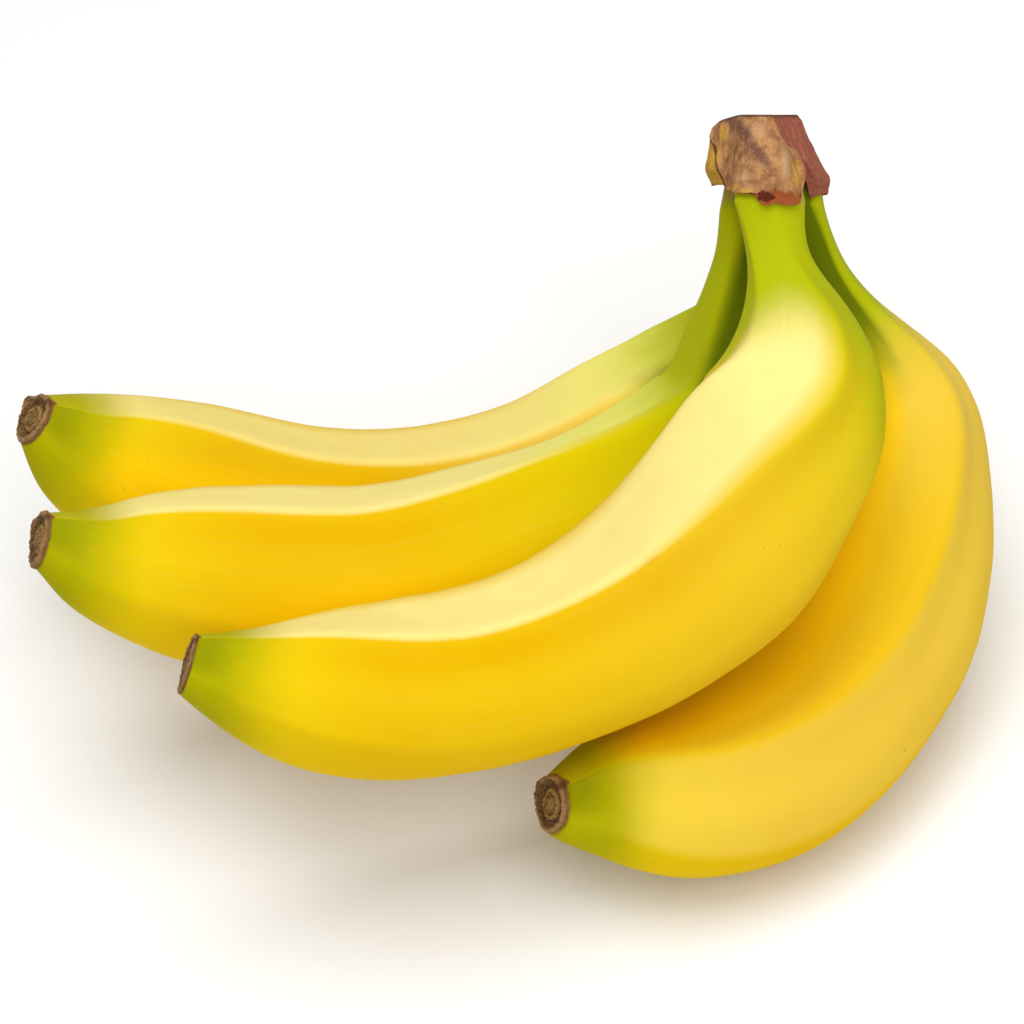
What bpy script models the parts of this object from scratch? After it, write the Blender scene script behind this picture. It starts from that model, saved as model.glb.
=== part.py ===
"""A bunch of four bananas, grown together on one cut crown, lying on a table. Metres, +Z up.

The hand is drawn in its own frame, face on to a viewer: x to the right, y up, z towards the viewer,
in millimetres. One empty then leans it back and turns it, so that its two outer fingers lie on the
table at z = 0 and the crown stands clear of it. Each finger is a centre line with a half thickness at
each of its points, carried by a rounded five-sided section whose ridges follow the finger's twist.
"""

import math

import bpy
import numpy as np

MM = 0.001

# How the hand lies: leaned back from face up, turned, and where its own origin stands
LEAN = 40.0
TURN = -12.6
HAND_AT = (0.4, -11.6, 74.6)

# Touching pieces keep this gap
GAP = 0.3

# The peel's section: sides, how sharp the ridges are, and how much of that is left at both ends
SIDES = 5
SHARPNESS = 14.0
END_RIDGE = 0.35
# A neck is thinner from front to back than across, up to this share of the finger's length
NECK_THIN = 0.78
NECK_SHARE = 0.17
# A finger's ends turn to face the crown and their dry tip over this share of the length
TURN_SHARE = 0.08

RINGS = 42
POINTS_AROUND = 20

# Each finger from the crown to its tip: right, up, towards the viewer, half thickness
FINGERS = {
    "front": (
        (51.5, 62.0, 0.0, 7.2), (53.3, 50.0, 0.0, 6.4), (56.0, 38.0, 1.0, 11.8), (56.7, 27.0, 2.0, 17.4),
        (52.2, 12.0, 3.0, 20.1), (39.7, -8.5, 3.0, 21.3), (18.0, -24.5, 2.0, 19.2),
        (-6.0, -33.7, 2.0, 18.2), (-32.3, -36.0, 3.0, 16.8), (-50.5, -33.9, 5.0, 12.1),
        (-64.0, -30.3, 6.0, 6.3)),
    "left": (
        (50.0, 62.0, -23.0, 7.3), (49.5, 51.5, -28.0, 7.5), (47.9, 36.7, -32.5, 11.4),
        (46.0, 22.3, -35.0, 15.6), (35.0, 8.8, -36.5, 18.6), (19.2, -0.4, -37.5, 19.6),
        (-2.5, -8.1, -37.5, 19.8), (-29.5, -14.0, -35.5, 19.8), (-55.4, -13.7, -31.5, 19.3),
        (-72.7, -12.0, -27.5, 16.5), (-87.2, -9.3, -23.5, 10.9), (-96.0, -5.7, -20.0, 6.1)),
    "back": (
        (52.5, 62.0, -36.0, 7.3), (51.7, 52.5, -44.0, 7.6), (49.1, 39.0, -59.0, 9.6),
        (40.5, 28.4, -68.5, 14.4), (27.7, 17.1, -73.0, 18.2), (8.7, 6.1, -75.5, 18.9),
        (-14.5, -0.7, -76.5, 19.3), (-39.5, -1.7, -75.5, 19.3), (-66.4, 4.1, -72.0, 18.8),
        (-84.7, 9.9, -67.0, 16.3), (-95.4, 15.2, -62.0, 11.1), (-101.5, 19.6, -57.5, 5.8)),
    "right": (
        (56.5, 62.0, -11.5, 7.2), (60.5, 50.5, -17.5, 7.3), (67.7, 38.0, -22.5, 9.5),
        (73.5, 29.7, -24.5, 12.8), (78.9, 19.7, -26.0, 16.8), (80.8, 7.7, -27.0, 18.0),
        (79.8, -8.0, -27.0, 18.9), (73.6, -28.5, -25.5, 19.5), (60.5, -45.3, -22.0, 20.2),
        (44.0, -55.2, -17.5, 19.5), (28.4, -57.6, -13.5, 16.1), (17.4, -57.8, -10.5, 11.9),
        (8.7, -58.8, -6.5, 6.1)),
}

# The ridge that faces the viewer: share of the length, and degrees from the viewer to the bend's inside
RIDGES = {
    "front": ((0.0, 0.0), (0.13, -32.0), (0.28, 2.0), (0.45, 22.0), (0.75, 33.0), (1.0, 58.0)),
    "left": ((0.0, 38.0), (0.2, 37.0), (0.4, 45.0), (0.65, 41.0), (1.0, 52.0)),
    "back": ((0.0, 30.0), (0.5, 33.0), (0.8, 41.0), (1.0, 52.0)),
    "right": ((0.0, -50.0), (0.22, -46.0), (0.36, -29.0), (0.55, -6.0), (0.75, 17.0), (1.0, 42.0)),
}

# Where each dry tip faces
TIP_FACES = {
    "front": (-0.95, 0.28, 0.14),
    "left": (-0.92, 0.21, 0.33),
    "back": (-0.74, 0.42, 0.53),
    "right": (-0.87, 0.02, 0.49),
}

# A dry tip's profile, in shares of the finger's end: height above the peel's end, radius
TIP_PROFILE = (
    (0.0, 0.90), (0.10, 0.98), (0.24, 0.96), (0.34, 0.84), (0.30, 0.66), (0.22, 0.48), (0.24, 0.30),
    (0.36, 0.20), (0.40, 0.08))

# The crown's outline at its widest, seen from above: right, towards the viewer
CROWN_PLAN = (
    (51.0, 7.0), (55.5, 6.0), (58.0, 1.5), (61.5, -2.5), (64.6, -9.0), (63.8, -16.0), (60.5, -23.0),
    (60.0, -31.0), (57.5, -38.5), (52.5, -43.0), (47.0, -41.0), (44.0, -34.5), (40.5, -28.5), (38.8, -20.0),
    (39.3, -11.5), (42.5, -6.0), (44.3, -1.0), (46.5, 5.0))
CROWN_MIDDLE = (51.5, -18.0)
# The crown from where the necks leave it to its cut top: height, middle, share of the plan across and deep
CROWN_LEVELS = (
    (62.3, 53.2, 0.80, 0.90), (64.0, 52.6, 0.91, 0.97), (66.0, 51.6, 1.0, 1.0), (70.0, 50.9, 0.90, 0.97),
    (74.0, 50.4, 0.78, 0.93), (77.8, 49.8, 0.68, 0.87), (79.2, 50.1, 0.58, 0.82))
CROWN_POINTS = 36


def clear_scene():
    """Remove every object that the scene starts with."""
    for thing in list(bpy.data.objects):
        bpy.data.objects.remove(thing)


def make_material(name, colour, roughness):
    """One Principled material."""
    material = bpy.data.materials.new(name)
    material.use_nodes = True
    shader = material.node_tree.nodes["Principled BSDF"]
    shader.inputs["Base Color"].default_value = (*colour, 1.0)
    shader.inputs["Roughness"].default_value = roughness
    shader.inputs["Metallic"].default_value = 0.0
    return material


def cubic(knots, values, at):
    """The natural cubic spline through values at knots, read at the places in at."""
    count = len(knots)
    step = np.diff(knots)
    slope = np.diff(values, axis=0) / step[:, None]
    matrix = np.eye(count)
    right = np.zeros_like(values)
    for row in range(1, count - 1):
        matrix[row, row - 1:row + 2] = (step[row - 1], 2 * (step[row - 1] + step[row]), step[row])
        right[row] = 6 * (slope[row] - slope[row - 1])
    bend = np.linalg.solve(matrix, right)
    span = np.clip(np.searchsorted(knots, at, side="right") - 1, 0, count - 2)
    width = step[span][:, None]
    past = (at - knots[span])[:, None] / width
    left = 1 - past
    return (left * values[span] + past * values[span + 1]
            + ((left ** 3 - left) * bend[span] + (past ** 3 - past) * bend[span + 1]) * width ** 2 / 6)


def unit(rows):
    """Rows scaled to length one."""
    return rows / np.linalg.norm(rows, axis=-1, keepdims=True)


def ease(share):
    """A smooth step from 0 to 1."""
    share = np.clip(share, 0.0, 1.0)
    return share * share * (3 - 2 * share)


def section(angle):
    """Rounded five-sided outline: its radius at an angle from a ridge, 1 halfway from flat to ridge.

    Each flat side pulls with the power SHARPNESS of the cosine to it, and the sides are summed.
    """
    def outline(turn):
        pull = 0.0
        for side in range(SIDES):
            facing = (side + 0.5) * 2 * math.pi / SIDES
            pull = pull + np.maximum(np.cos(turn - facing), 0.0) ** SHARPNESS
        return pull ** (-1 / SHARPNESS)

    flat = outline(math.pi / SIDES)
    ridge = outline(0.0)
    return outline(angle) * 2 / (flat + ridge)


def finger_frame(name, count):
    """Along a finger at count even steps: share, centre, half thickness, direction, front, side, twist."""
    points = np.array(FINGERS[name])
    knots = np.concatenate(([0.0], np.cumsum(np.linalg.norm(np.diff(points[:, :3], axis=0), axis=1))))
    share = np.linspace(0.0, 1.0, count)
    line = cubic(knots, points, share * knots[-1])
    centre = line[:, :3]
    along = unit(np.gradient(centre, axis=0))
    # Both ends are cut square to the crown and to the dry tip
    at_crown = ease(1 - share / TURN_SHARE)[:, None]
    at_tip = ease(1 - (1 - share) / TURN_SHARE)[:, None]
    along = unit(along * (1 - at_crown) + at_crown * np.array((0.0, -1.0, 0.0)))
    along = unit(along * (1 - at_tip) + at_tip * unit(np.array(TIP_FACES[name])))
    viewer = np.array((0.0, 0.0, 1.0))
    front = unit(viewer - (along @ viewer)[:, None] * along)
    side = np.cross(along, front)
    turn = np.array(RIDGES[name])
    twist = np.radians(cubic(turn[:, 0], turn[:, 1:], share)[:, 0])
    return share, centre, line[:, 3], along, front, side, twist


def finger_rings(name):
    """Rings of points along a finger's peel."""
    share, centre, half, along, front, side, twist = finger_frame(name, RINGS)
    around = np.arange(POINTS_AROUND) * 2 * math.pi / POINTS_AROUND
    ridge = END_RIDGE + (1 - END_RIDGE) * ease(np.minimum(share, 1 - share) / NECK_SHARE)
    radius = half[:, None] * (1 + ridge[:, None] * (section(around)[None, :] - 1))
    thin = NECK_THIN + (1 - NECK_THIN) * ease(share / NECK_SHARE)
    angle = around[None, :] + twist[:, None]
    forward = (radius * np.cos(angle) * thin[:, None])[..., None] * front[:, None, :]
    sideways = (radius * np.sin(angle))[..., None] * side[:, None, :]
    return centre[:, None, :] + forward + sideways


def tip_rings(name):
    """Rings of a dry tip, a gap away from the peel's end, with a dished face and a nub."""
    centre, half, along, front, side, twist = (row[-1] for row in finger_frame(name, RINGS)[1:])
    around = np.arange(POINTS_AROUND) * 2 * math.pi / POINTS_AROUND + twist
    rings = []
    for height, radius in TIP_PROFILE:
        middle = centre + along * (GAP + height * half)
        spoke = np.cos(around)[:, None] * front + np.sin(around)[:, None] * side
        rings.append(middle + spoke * radius * half)
    return np.array(rings)


def crown_rings():
    """Rings of the crown: its plan drawn in level by level towards the cut top."""
    plan = np.array(CROWN_PLAN)
    corners = len(plan)
    # The closed outline is read from a spline that runs once more round each way
    lap = np.concatenate((plan, plan, plan, plan[:1]))
    at = corners + np.arange(CROWN_POINTS) * corners / CROWN_POINTS
    outline = cubic(np.arange(len(lap), dtype=float), lap, at) - CROWN_MIDDLE
    rings = []
    for height, middle, across, deep in CROWN_LEVELS:
        right = middle + outline[:, 0] * across
        toward = CROWN_MIDDLE[1] + outline[:, 1] * deep
        rings.append(np.stack((right, np.full(CROWN_POINTS, height), toward), axis=-1))
    return np.array(rings)


def solid_from_rings(name, rings, material, hand):
    """A closed solid through rings of points, with a flat cap on the first and last ring."""
    levels, around = rings.shape[:2]
    faces = [list(range(around)), list(range((levels - 1) * around, levels * around))[::-1]]
    for level in range(levels - 1):
        for point in range(around):
            after = (point + 1) % around
            low, high = level * around, (level + 1) * around
            faces.append([low + after, low + point, high + point, high + after])
    if outward_volume(rings) < 0:
        faces = [face[::-1] for face in faces]
    mesh = bpy.data.meshes.new(name)
    mesh.from_pydata((rings.reshape(-1, 3) * MM).tolist(), [], faces)
    mesh.materials.append(material)
    mesh.shade_smooth()
    solid = bpy.data.objects.new(name, mesh)
    bpy.context.collection.objects.link(solid)
    solid.parent = hand
    return solid


def outward_volume(rings):
    """Positive when the rings' points run so that the faces of solid_from_rings point outwards."""
    middle = rings.mean(axis=1)
    spoke = rings - middle[:, None, :]
    around = np.cross(spoke, np.roll(spoke, -1, axis=1)).sum(axis=1)
    along = np.gradient(middle, axis=0)
    return -float((around * along).sum())


def table_cutter():
    """A block under the table's surface, which presses the lowest fingers flat."""
    bpy.ops.mesh.primitive_cube_add(size=1.0, location=(0.0, 0.0, -0.02))
    table = bpy.context.object
    table.name = "table_cutter"
    table.scale = (0.4, 0.4, 0.04)
    table.hide_render = True
    table.display_type = "WIRE"
    return table


def press_flat(solid, table):
    """Take off what would sink into the table."""
    cut = solid.modifiers.new("pressed_flat", "BOOLEAN")
    cut.operation = "DIFFERENCE"
    cut.solver = "EXACT"
    cut.object = table


def main():
    """Build the whole bunch."""
    clear_scene()
    hand = bpy.data.objects.new("hand", None)
    bpy.context.collection.objects.link(hand)
    hand.location = [value * MM for value in HAND_AT]
    hand.rotation_mode = "ZYX"
    hand.rotation_euler = (math.radians(LEAN), 0.0, math.radians(TURN))

    peel = make_material("peel", (0.87, 0.60, 0.03), 0.42)
    dry_tip = make_material("dry_tip", (0.16, 0.08, 0.045), 0.85)
    crown_skin = make_material("crown_skin", (0.38, 0.21, 0.09), 0.8)

    table = table_cutter()
    for name in FINGERS:
        finger = solid_from_rings("banana_" + name, finger_rings(name), peel, hand)
        if name in ("back", "right"):
            press_flat(finger, table)
        solid_from_rings("tip_" + name, tip_rings(name), dry_tip, hand)
    solid_from_rings("crown", crown_rings(), crown_skin, hand)


if __name__ == "__main__":
    main()
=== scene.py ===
"""The looks of a bunch of four bananas: waxy peels, dry blossom tips and the cut crown.

The surfaces are drawn in the hand's own frame, as in the part's source: x to the right, y up, z towards
the viewer, in millimetres. One matrix leans and turns them into the frame's metres.
"""

import math

import bpy
import numpy as np
from mathutils import Euler, Matrix, Vector


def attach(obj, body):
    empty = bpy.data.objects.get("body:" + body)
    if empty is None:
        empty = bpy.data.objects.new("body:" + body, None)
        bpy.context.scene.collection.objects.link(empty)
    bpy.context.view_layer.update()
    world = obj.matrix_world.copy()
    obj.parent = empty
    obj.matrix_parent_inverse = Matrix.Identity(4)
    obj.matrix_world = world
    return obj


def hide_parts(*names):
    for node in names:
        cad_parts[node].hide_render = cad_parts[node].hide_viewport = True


bl_info = {
    "name": "Bunch of bananas",
    "version": (1, 0, 0),
    "blender": (4, 5, 0),
    "location": "3D View > Sidebar > Bananas",
    "description": "Peels, dry tips and crown of a bunch of bananas around its packed solids",
    "category": "Add Mesh",
}

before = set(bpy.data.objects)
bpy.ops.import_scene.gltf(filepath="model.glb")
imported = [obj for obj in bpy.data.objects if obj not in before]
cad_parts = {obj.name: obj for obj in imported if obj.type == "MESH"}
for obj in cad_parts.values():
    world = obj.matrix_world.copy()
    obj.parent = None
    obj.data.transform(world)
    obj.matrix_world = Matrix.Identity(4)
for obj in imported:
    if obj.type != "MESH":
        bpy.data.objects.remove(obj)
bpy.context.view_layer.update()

MM = 0.001
FULL_TURN = 2 * math.pi

# How the hand lies: leaned back from face up, turned, and where its own origin stands
LEAN = 40.0
TURN = -12.6
HAND_AT = (0.4, -11.6, 74.6)
HAND = Euler((math.radians(LEAN), 0.0, math.radians(TURN)), "ZYX").to_matrix()

# The peel's section: sides, how sharp the ridges are, and how much of that is left at both ends
SIDES = 5
SHARPNESS = 14.0
END_RIDGE = 0.35
# A neck is thinner from front to back than across, up to this share of the finger's length
NECK_THIN = 0.78
NECK_SHARE = 0.17
# A finger's ends turn to face the crown and their dry tip over this share of the length
TURN_SHARE = 0.08
# Middle of the pale face, halfway between the ridge that faces the viewer and the next one inwards
INNER_FACE = math.pi / SIDES
# The ridges away from the viewer are blunter: this share of them is left, from this angle off the inner
# face on, reached over this one
FAR_RIDGE = 0.35
BLUNT_FROM = math.radians(50.0)
BLUNT_OVER = math.radians(40.0)
# A ridge's crest rises to its full height over this distance from the crown, in millimetres
CREST_RISE = 20.0
# Size and height of the peel's slow and quick unevenness, in millimetres
SLOW_WAVE = (28.0, 0.20)
QUICK_WAVE = (11.0, 0.05)
# Rings and points around a peel, and the rings of its neck inside the crown, where it draws in by this share
PEEL_RINGS = 300
PEEL_AROUND = 160
RUN_UP_RINGS = 6
RUN_UP_DRAW = 0.12
# Pieces that a finger is split into when its shade on its neighbours is worked out
SHADE_STEPS = 90

# Each finger from the crown to its tip: right, up, towards the viewer, half thickness
FINGERS = {
    "front": (
        (51.5, 62.0, 0.0, 7.2), (53.3, 50.0, 0.0, 6.4), (56.0, 38.0, 1.0, 11.8), (56.7, 27.0, 2.0, 17.4),
        (52.2, 12.0, 3.0, 20.1), (39.7, -8.5, 3.0, 21.3), (18.0, -24.5, 2.0, 19.2),
        (-6.0, -33.7, 2.0, 18.2), (-32.3, -36.0, 3.0, 16.8), (-50.5, -33.9, 5.0, 12.1),
        (-64.0, -30.3, 6.0, 6.3)),
    "left": (
        (50.0, 62.0, -23.0, 7.3), (49.5, 51.5, -28.0, 7.5), (47.9, 36.7, -32.5, 11.4),
        (46.0, 22.3, -35.0, 15.6), (35.0, 8.8, -36.5, 18.6), (19.2, -0.4, -37.5, 19.6),
        (-2.5, -8.1, -37.5, 19.8), (-29.5, -14.0, -35.5, 19.8), (-55.4, -13.7, -31.5, 19.3),
        (-72.7, -12.0, -27.5, 16.5), (-87.2, -9.3, -23.5, 10.9), (-96.0, -5.7, -20.0, 6.1)),
    "back": (
        (52.5, 62.0, -36.0, 7.3), (51.7, 52.5, -44.0, 7.6), (49.1, 39.0, -59.0, 9.6),
        (40.5, 28.4, -68.5, 14.4), (27.7, 17.1, -73.0, 18.2), (8.7, 6.1, -75.5, 18.9),
        (-14.5, -0.7, -76.5, 19.3), (-39.5, -1.7, -75.5, 19.3), (-66.4, 4.1, -72.0, 18.8),
        (-84.7, 9.9, -67.0, 16.3), (-95.4, 15.2, -62.0, 11.1), (-101.5, 19.6, -57.5, 5.8)),
    "right": (
        (56.5, 62.0, -11.5, 7.2), (60.5, 50.5, -17.5, 7.3), (67.7, 38.0, -22.5, 9.5),
        (73.5, 29.7, -24.5, 12.8), (78.9, 19.7, -26.0, 16.8), (80.8, 7.7, -27.0, 18.0),
        (79.8, -8.0, -27.0, 18.9), (73.6, -28.5, -25.5, 19.5), (60.5, -45.3, -22.0, 20.2),
        (44.0, -55.2, -17.5, 19.5), (28.4, -57.6, -13.5, 16.1), (17.4, -57.8, -10.5, 11.9),
        (8.7, -58.8, -6.5, 6.1)),
}

# The ridge that faces the viewer: share of the length, and degrees from the viewer to the bend's inside
RIDGES = {
    "front": ((0.0, 0.0), (0.13, -32.0), (0.28, 2.0), (0.45, 22.0), (0.75, 33.0), (1.0, 58.0)),
    "left": ((0.0, 38.0), (0.2, 37.0), (0.4, 45.0), (0.65, 41.0), (1.0, 52.0)),
    "back": ((0.0, 30.0), (0.5, 33.0), (0.8, 41.0), (1.0, 52.0)),
    "right": ((0.0, -50.0), (0.22, -46.0), (0.36, -29.0), (0.55, -6.0), (0.75, 17.0), (1.0, 42.0)),
}

# What follows colours the peels. A finger that a table leaves out has none of it. Reaches are distances
# from the crown in millimetres: a colour is whole up to half its reach, and gone at one and a half.
NOWHERE = (0.0, 60.0)
# How pale each finger's inner face is: partly the peel's own paler colour, partly a painted highlight of the
# sheen and light on these upward faces
PALE_FINGERS = {"front": 0.97, "left": 1.0, "back": 0.80, "right": 0.03}
# Half width of the pale face in degrees, and how softly it ends: more so by the neck, up to its reach. On the
# side away from the viewer it ends more softly still, and reaches further round the neck by as much
PALE_HALF = 41.0
PALE_SOFT = 8.0
PALE_SOFT_NECK = 18.0
PALE_BEYOND = 26.0
PALE_NECK_REACH = 62.0
# How pale the whole of a finger is towards its neck, and its reach
FAIR_FINGERS = {"front": (0.06, 85.0), "back": (0.85, 86.0), "right": (0.20, 55.0)}
# How pale the face beyond the ridge that faces the viewer is, as painted light on that face, its half width
# and how softly it ends
OUTER_FINGERS = {"right": 0.16}
OUTER_HALF = math.radians(40.0)
OUTER_SOFT = math.radians(12.0)
# How lime the pale faces are towards the neck, and the reach
LIME_FINGERS = {"left": 1.0, "back": 0.8, "right": 0.2}
LIME_REACH = 85.0
# How deep the yellow is just under the ridge that faces the viewer, where that is and its half width
UNDER_FINGERS = {"front": 0.8, "left": 0.5}
UNDER_PLACE = math.radians(348.0)
UNDER_WIDTH = 0.2
# How olive the outer faces are towards the neck, and the reach
VERGE_FINGERS = {"front": (0.7, 55.0), "left": (1.0, 92.0)}
# How green the ridge that faces the viewer is, and the reach, with its half width
GREEN_RIDGES = {"left": (0.8, 85.0)}
GREEN_RIDGE_WIDTH = 0.16
# How far the green of a neck reaches on the inner face and on the right, if not as far as elsewhere
NECK_INNER = {"front": 0.67, "left": 1.45, "back": 1.45}
NECK_RIGHT = {"front": 1.12}
# How much of its neighbours' shade a finger shows near its neck, against the rest, and the reach. Where it
# shows more, some is there all over
NECK_SHADE = {"front": 0.5, "left": 0.8, "back": 0.2, "right": 2.2}
NECK_SHADE_REACH = 50.0
NECK_SHADE_ALL = 0.2
# Where the crown's dry skin ends on each neck, and over how many millimetres. On the front neck it is there
# only to the right of a place
FRINGE_ENDS = {"front": 2.6, "left": 0.6, "back": 0.2, "right": -2.0}
FRINGE_FADE = 3.5
FRINGE_LEFT = 49.5
# The green by the dry tip starts at this many times its reach, and the olive has this share of the reach. It
# lies on the low side: its middle, its half width and how softly it ends
TIP_GREEN_START = 1.3
OLIVE_SHARE = 0.55
LOW_SIDE = FULL_TURN * 0.94
LOW_HALF = math.radians(65.0)
LOW_SOFT = math.radians(50.0)
# The ridges are rubbed from here on, and down to here before the dry tip, in millimetres
RUBBED_FROM = 60.0
RUBBED_TO = 10.0
# Brown against the dry tip, all round and on the ridge that faces the viewer: reach in millimetres, amount
STAIN_EDGE = (0.25, 0.45)
STAIN_RIDGE = (1.2, 0.6)
STAIN_RIDGE_WIDTH = 0.25
# The fibres of the peel run along a cylinder of this radius, on another stretch of it for each finger
GRAIN_RADIUS = 17.0
GRAIN_STRETCH = 300

# Where each dry tip faces
TIP_FACES = {
    "front": (-0.95, 0.28, 0.14),
    "left": (-0.92, 0.21, 0.33),
    "back": (-0.74, 0.42, 0.53),
    "right": (-0.87, 0.02, 0.49),
}

# A dry tip's profile, in shares of the finger's end: height above the peel's end, radius
TIP_PROFILE = (
    (-0.15, 0.84), (0.0, 0.93), (0.10, 0.98), (0.20, 0.96), (0.27, 0.87), (0.22, 0.76), (0.11, 0.66),
    (0.11, 0.56), (0.19, 0.48), (0.19, 0.42), (0.13, 0.36), (0.17, 0.28), (0.26, 0.20), (0.29, 0.10),
    (0.29, 0.01))
# Nibs on its rim: angle from the ridge that faces the viewer, width, height
TIP_NIBS = ((0.0, 0.20, 0.13), (1.75, 0.28, 0.15))
# How much of the nibs each tip has
NIB_SHARE = {"front": 0.3, "left": 0.8, "back": 1.1, "right": 0.25}
# How far each tip stands out, as a share of its profile's heights
TIP_DEPTH = {"front": 0.5, "left": 0.85, "back": 1.0, "right": 1.0}
# Rings and points around a tip, and the steps along its finger that its place is read from
TIP_RINGS = 84
TIP_AROUND = 150
TIP_STEPS = 60
# Colours of the dry tips
TIP_COLOURS = {
    "dark": (0.11, 0.05, 0.016), "brown": (0.25, 0.125, 0.038), "groove": (0.06, 0.028, 0.010),
    "walls": (0.30, 0.18, 0.06), "ochre": (0.36, 0.23, 0.06), "rim": (0.42, 0.24, 0.10),
    "nub": (0.36, 0.22, 0.08), "nib": (0.10, 0.035, 0.018)}

# The crown's outline at its widest, seen from above: right, towards the viewer
CROWN_PLAN = (
    (51.0, 7.0), (55.5, 6.0), (58.0, 1.5), (61.5, -2.5), (64.6, -9.0), (63.8, -16.0), (60.5, -23.0),
    (60.0, -31.0), (57.5, -38.5), (52.5, -43.0), (47.0, -41.0), (44.0, -34.5), (40.5, -28.5), (38.8, -20.0),
    (39.3, -11.5), (42.5, -6.0), (44.3, -1.0), (46.5, 5.0))
CROWN_MIDDLE = (51.5, -18.0)
# The crown from where the necks leave it to its cut top: height, middle, share of the plan across and deep
CROWN_LEVELS = (
    (62.3, 53.2, 0.80, 0.90), (64.0, 52.6, 0.91, 0.97), (66.0, 51.6, 1.0, 1.0), (70.0, 50.9, 0.90, 0.97),
    (74.0, 50.4, 0.78, 0.93), (77.8, 49.8, 0.68, 0.87), (79.2, 50.1, 0.58, 0.82))
# Its ragged lower edge: place along the plan's corners, height
CROWN_EDGE = (
    (0.0, 60.9), (0.5, 61.3), (1.0, 61.0), (1.6, 61.2), (1.72, 63.0), (1.85, 65.0), (2.0, 67.2), (2.2, 67.8),
    (2.75, 67.0), (3.0, 65.0), (3.15, 63.3), (3.4, 63.8), (4.3, 64.8), (5.5, 63.6), (7.0, 64.6), (8.2, 64.0),
    (9.5, 66.5), (11.0, 68.3), (12.2, 67.8), (13.2, 66.8), (14.3, 66.3), (14.75, 66.0), (14.9, 64.9),
    (15.8, 64.1), (16.8, 63.3), (17.4, 63.0), (17.7, 61.4))
# Where the front plate of its husk ends on the right: height, right
PLATE_END = (
    (61.0, 58.6), (66.8, 58.4), (69.4, 57.7), (72.4, 56.7), (73.2, 54.4), (74.8, 52.9), (78.6, 51.6),
    (80.0, 51.2))
# Where it ends on the left: height, place along the plan's corners
PLATE_LEFT = ((64.0, 14.75), (70.0, 14.6), (74.0, 14.2), (76.0, 13.6))
# Places along the plan's corners: the end of the front plate's right side, the middle of the rear, the end of
# the red band, the start of the left flap, and the two between which the crown faces away from the viewer
PLATE_RIGHT = 3.5
REAR = 9.0
BAND_END = 7.6
FLAP_START = 11.5
AWAY = (3.0, 14.5)
# The flap's ochre ends at this height, and the front plate stands out this far, in millimetres
FLAP_TOP = 75.5
PLATE_STEP = 0.55
# Its cut rises by this share of the depth, down to this depth in millimetres. At the left corner, a place
# along the plan's corners, it rises less by this share, over this width
CUT_LEAN = 0.08
CUT_LEAN_DEPTH = 18.0
CUT_LEAN_FROM = 70.0
LEFT_CORNER = 13.7
LEFT_CORNER_LESS = 0.8
LEFT_CORNER_WIDTH = 1.6
# The middle of the cut is this much lower than its rim
CUT_SINK = 0.9
# The husk reaches at least this share of the plan where it hugs the necks, and leaves them over this height
HUG_LEAST = 0.80
HUG_HEIGHT = 4.5
# Rings of the lip inside the lower edge: how far in, how far up
LIP = ((8.0, 3.0), (3.0, 2.5), (1.0, 1.2), (0.5, 0.15))
LIP_MIDDLE = 66.0
# Points around the crown, rings of its wall and rings of its cut
CROWN_AROUND = 420
CROWN_RINGS = 110
CUT_RINGS = 39
# Where its dark streak runs: height, right. It starts above this height and reaches its full depth over this
STREAK_LINE = ((67.0, 51.8), (70.2, 49.8), (73.0, 47.6), (78.6, 44.2))
STREAK_WIDTH = 1.6
STREAK_FROM = 65.5
STREAK_RISE = 5.0
# Its painted places on the side that faces the viewer: right, up, half width, half height
# The first bright place, a narrow upright strip on the right of the front plate, is a painted highlight; the
# others are lighter places of the husk
CROWN_BRIGHT = ((54.3, 69.0, 1.6, 4.5), (49.0, 75.5, 2.2, 2.5), (46.0, 66.5, 2.5, 1.6))
CROWN_OCHRE = (
    (42.4, 76.5, 1.7, 2.6), (56.6, 67.2, 1.1, 3.2), (43.5, 64.9, 2.6, 1.0),
    (46.6, 63.9, 2.0, 0.8), (41.5, 72.0, 1.3, 3.0))
CROWN_RUST = ((55.2, 61.6, 4.2, 2.0), (52.0, 62.2, 3.0, 1.9))
# The first is a dark patch of the husk; the second, a thin line under the ochre rim at the front plate's
# lower left, is a painted shadow
CROWN_BLOT = ((50.4, 62.5, 2.0, 1.5), (47.2, 63.1, 2.4, 0.35))
# Colours of the crown
CROWN_COLOURS = {
    "tan": (0.50, 0.255, 0.105), "brown": (0.23, 0.09, 0.035), "bright": (0.70, 0.45, 0.24),
    "streak": (0.14, 0.06, 0.045), "seam": (0.10, 0.022, 0.010), "fleck": (0.78, 0.55, 0.34),
    "red_dark": (0.26, 0.075, 0.048), "red": (0.40, 0.135, 0.085), "rust": (0.30, 0.065, 0.018),
    "blot": (0.085, 0.014, 0.008)}
# The stage: how far the floor reaches, what the lamps face, and each lamp's setting, size and place
FLOOR_REACH = 4.0
LAMP_TARGET = (0.0, 0.0, 0.04)
LAMPS = {
    "key_light": ("key", 0.90, (0.05, 0.0, 1.30)),
    "fill_light": ("fill", 0.80, (-0.12, -1.0, 0.45)),
    "front_light": ("front", 0.60, (0.22, -0.60, 0.85))}


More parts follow.
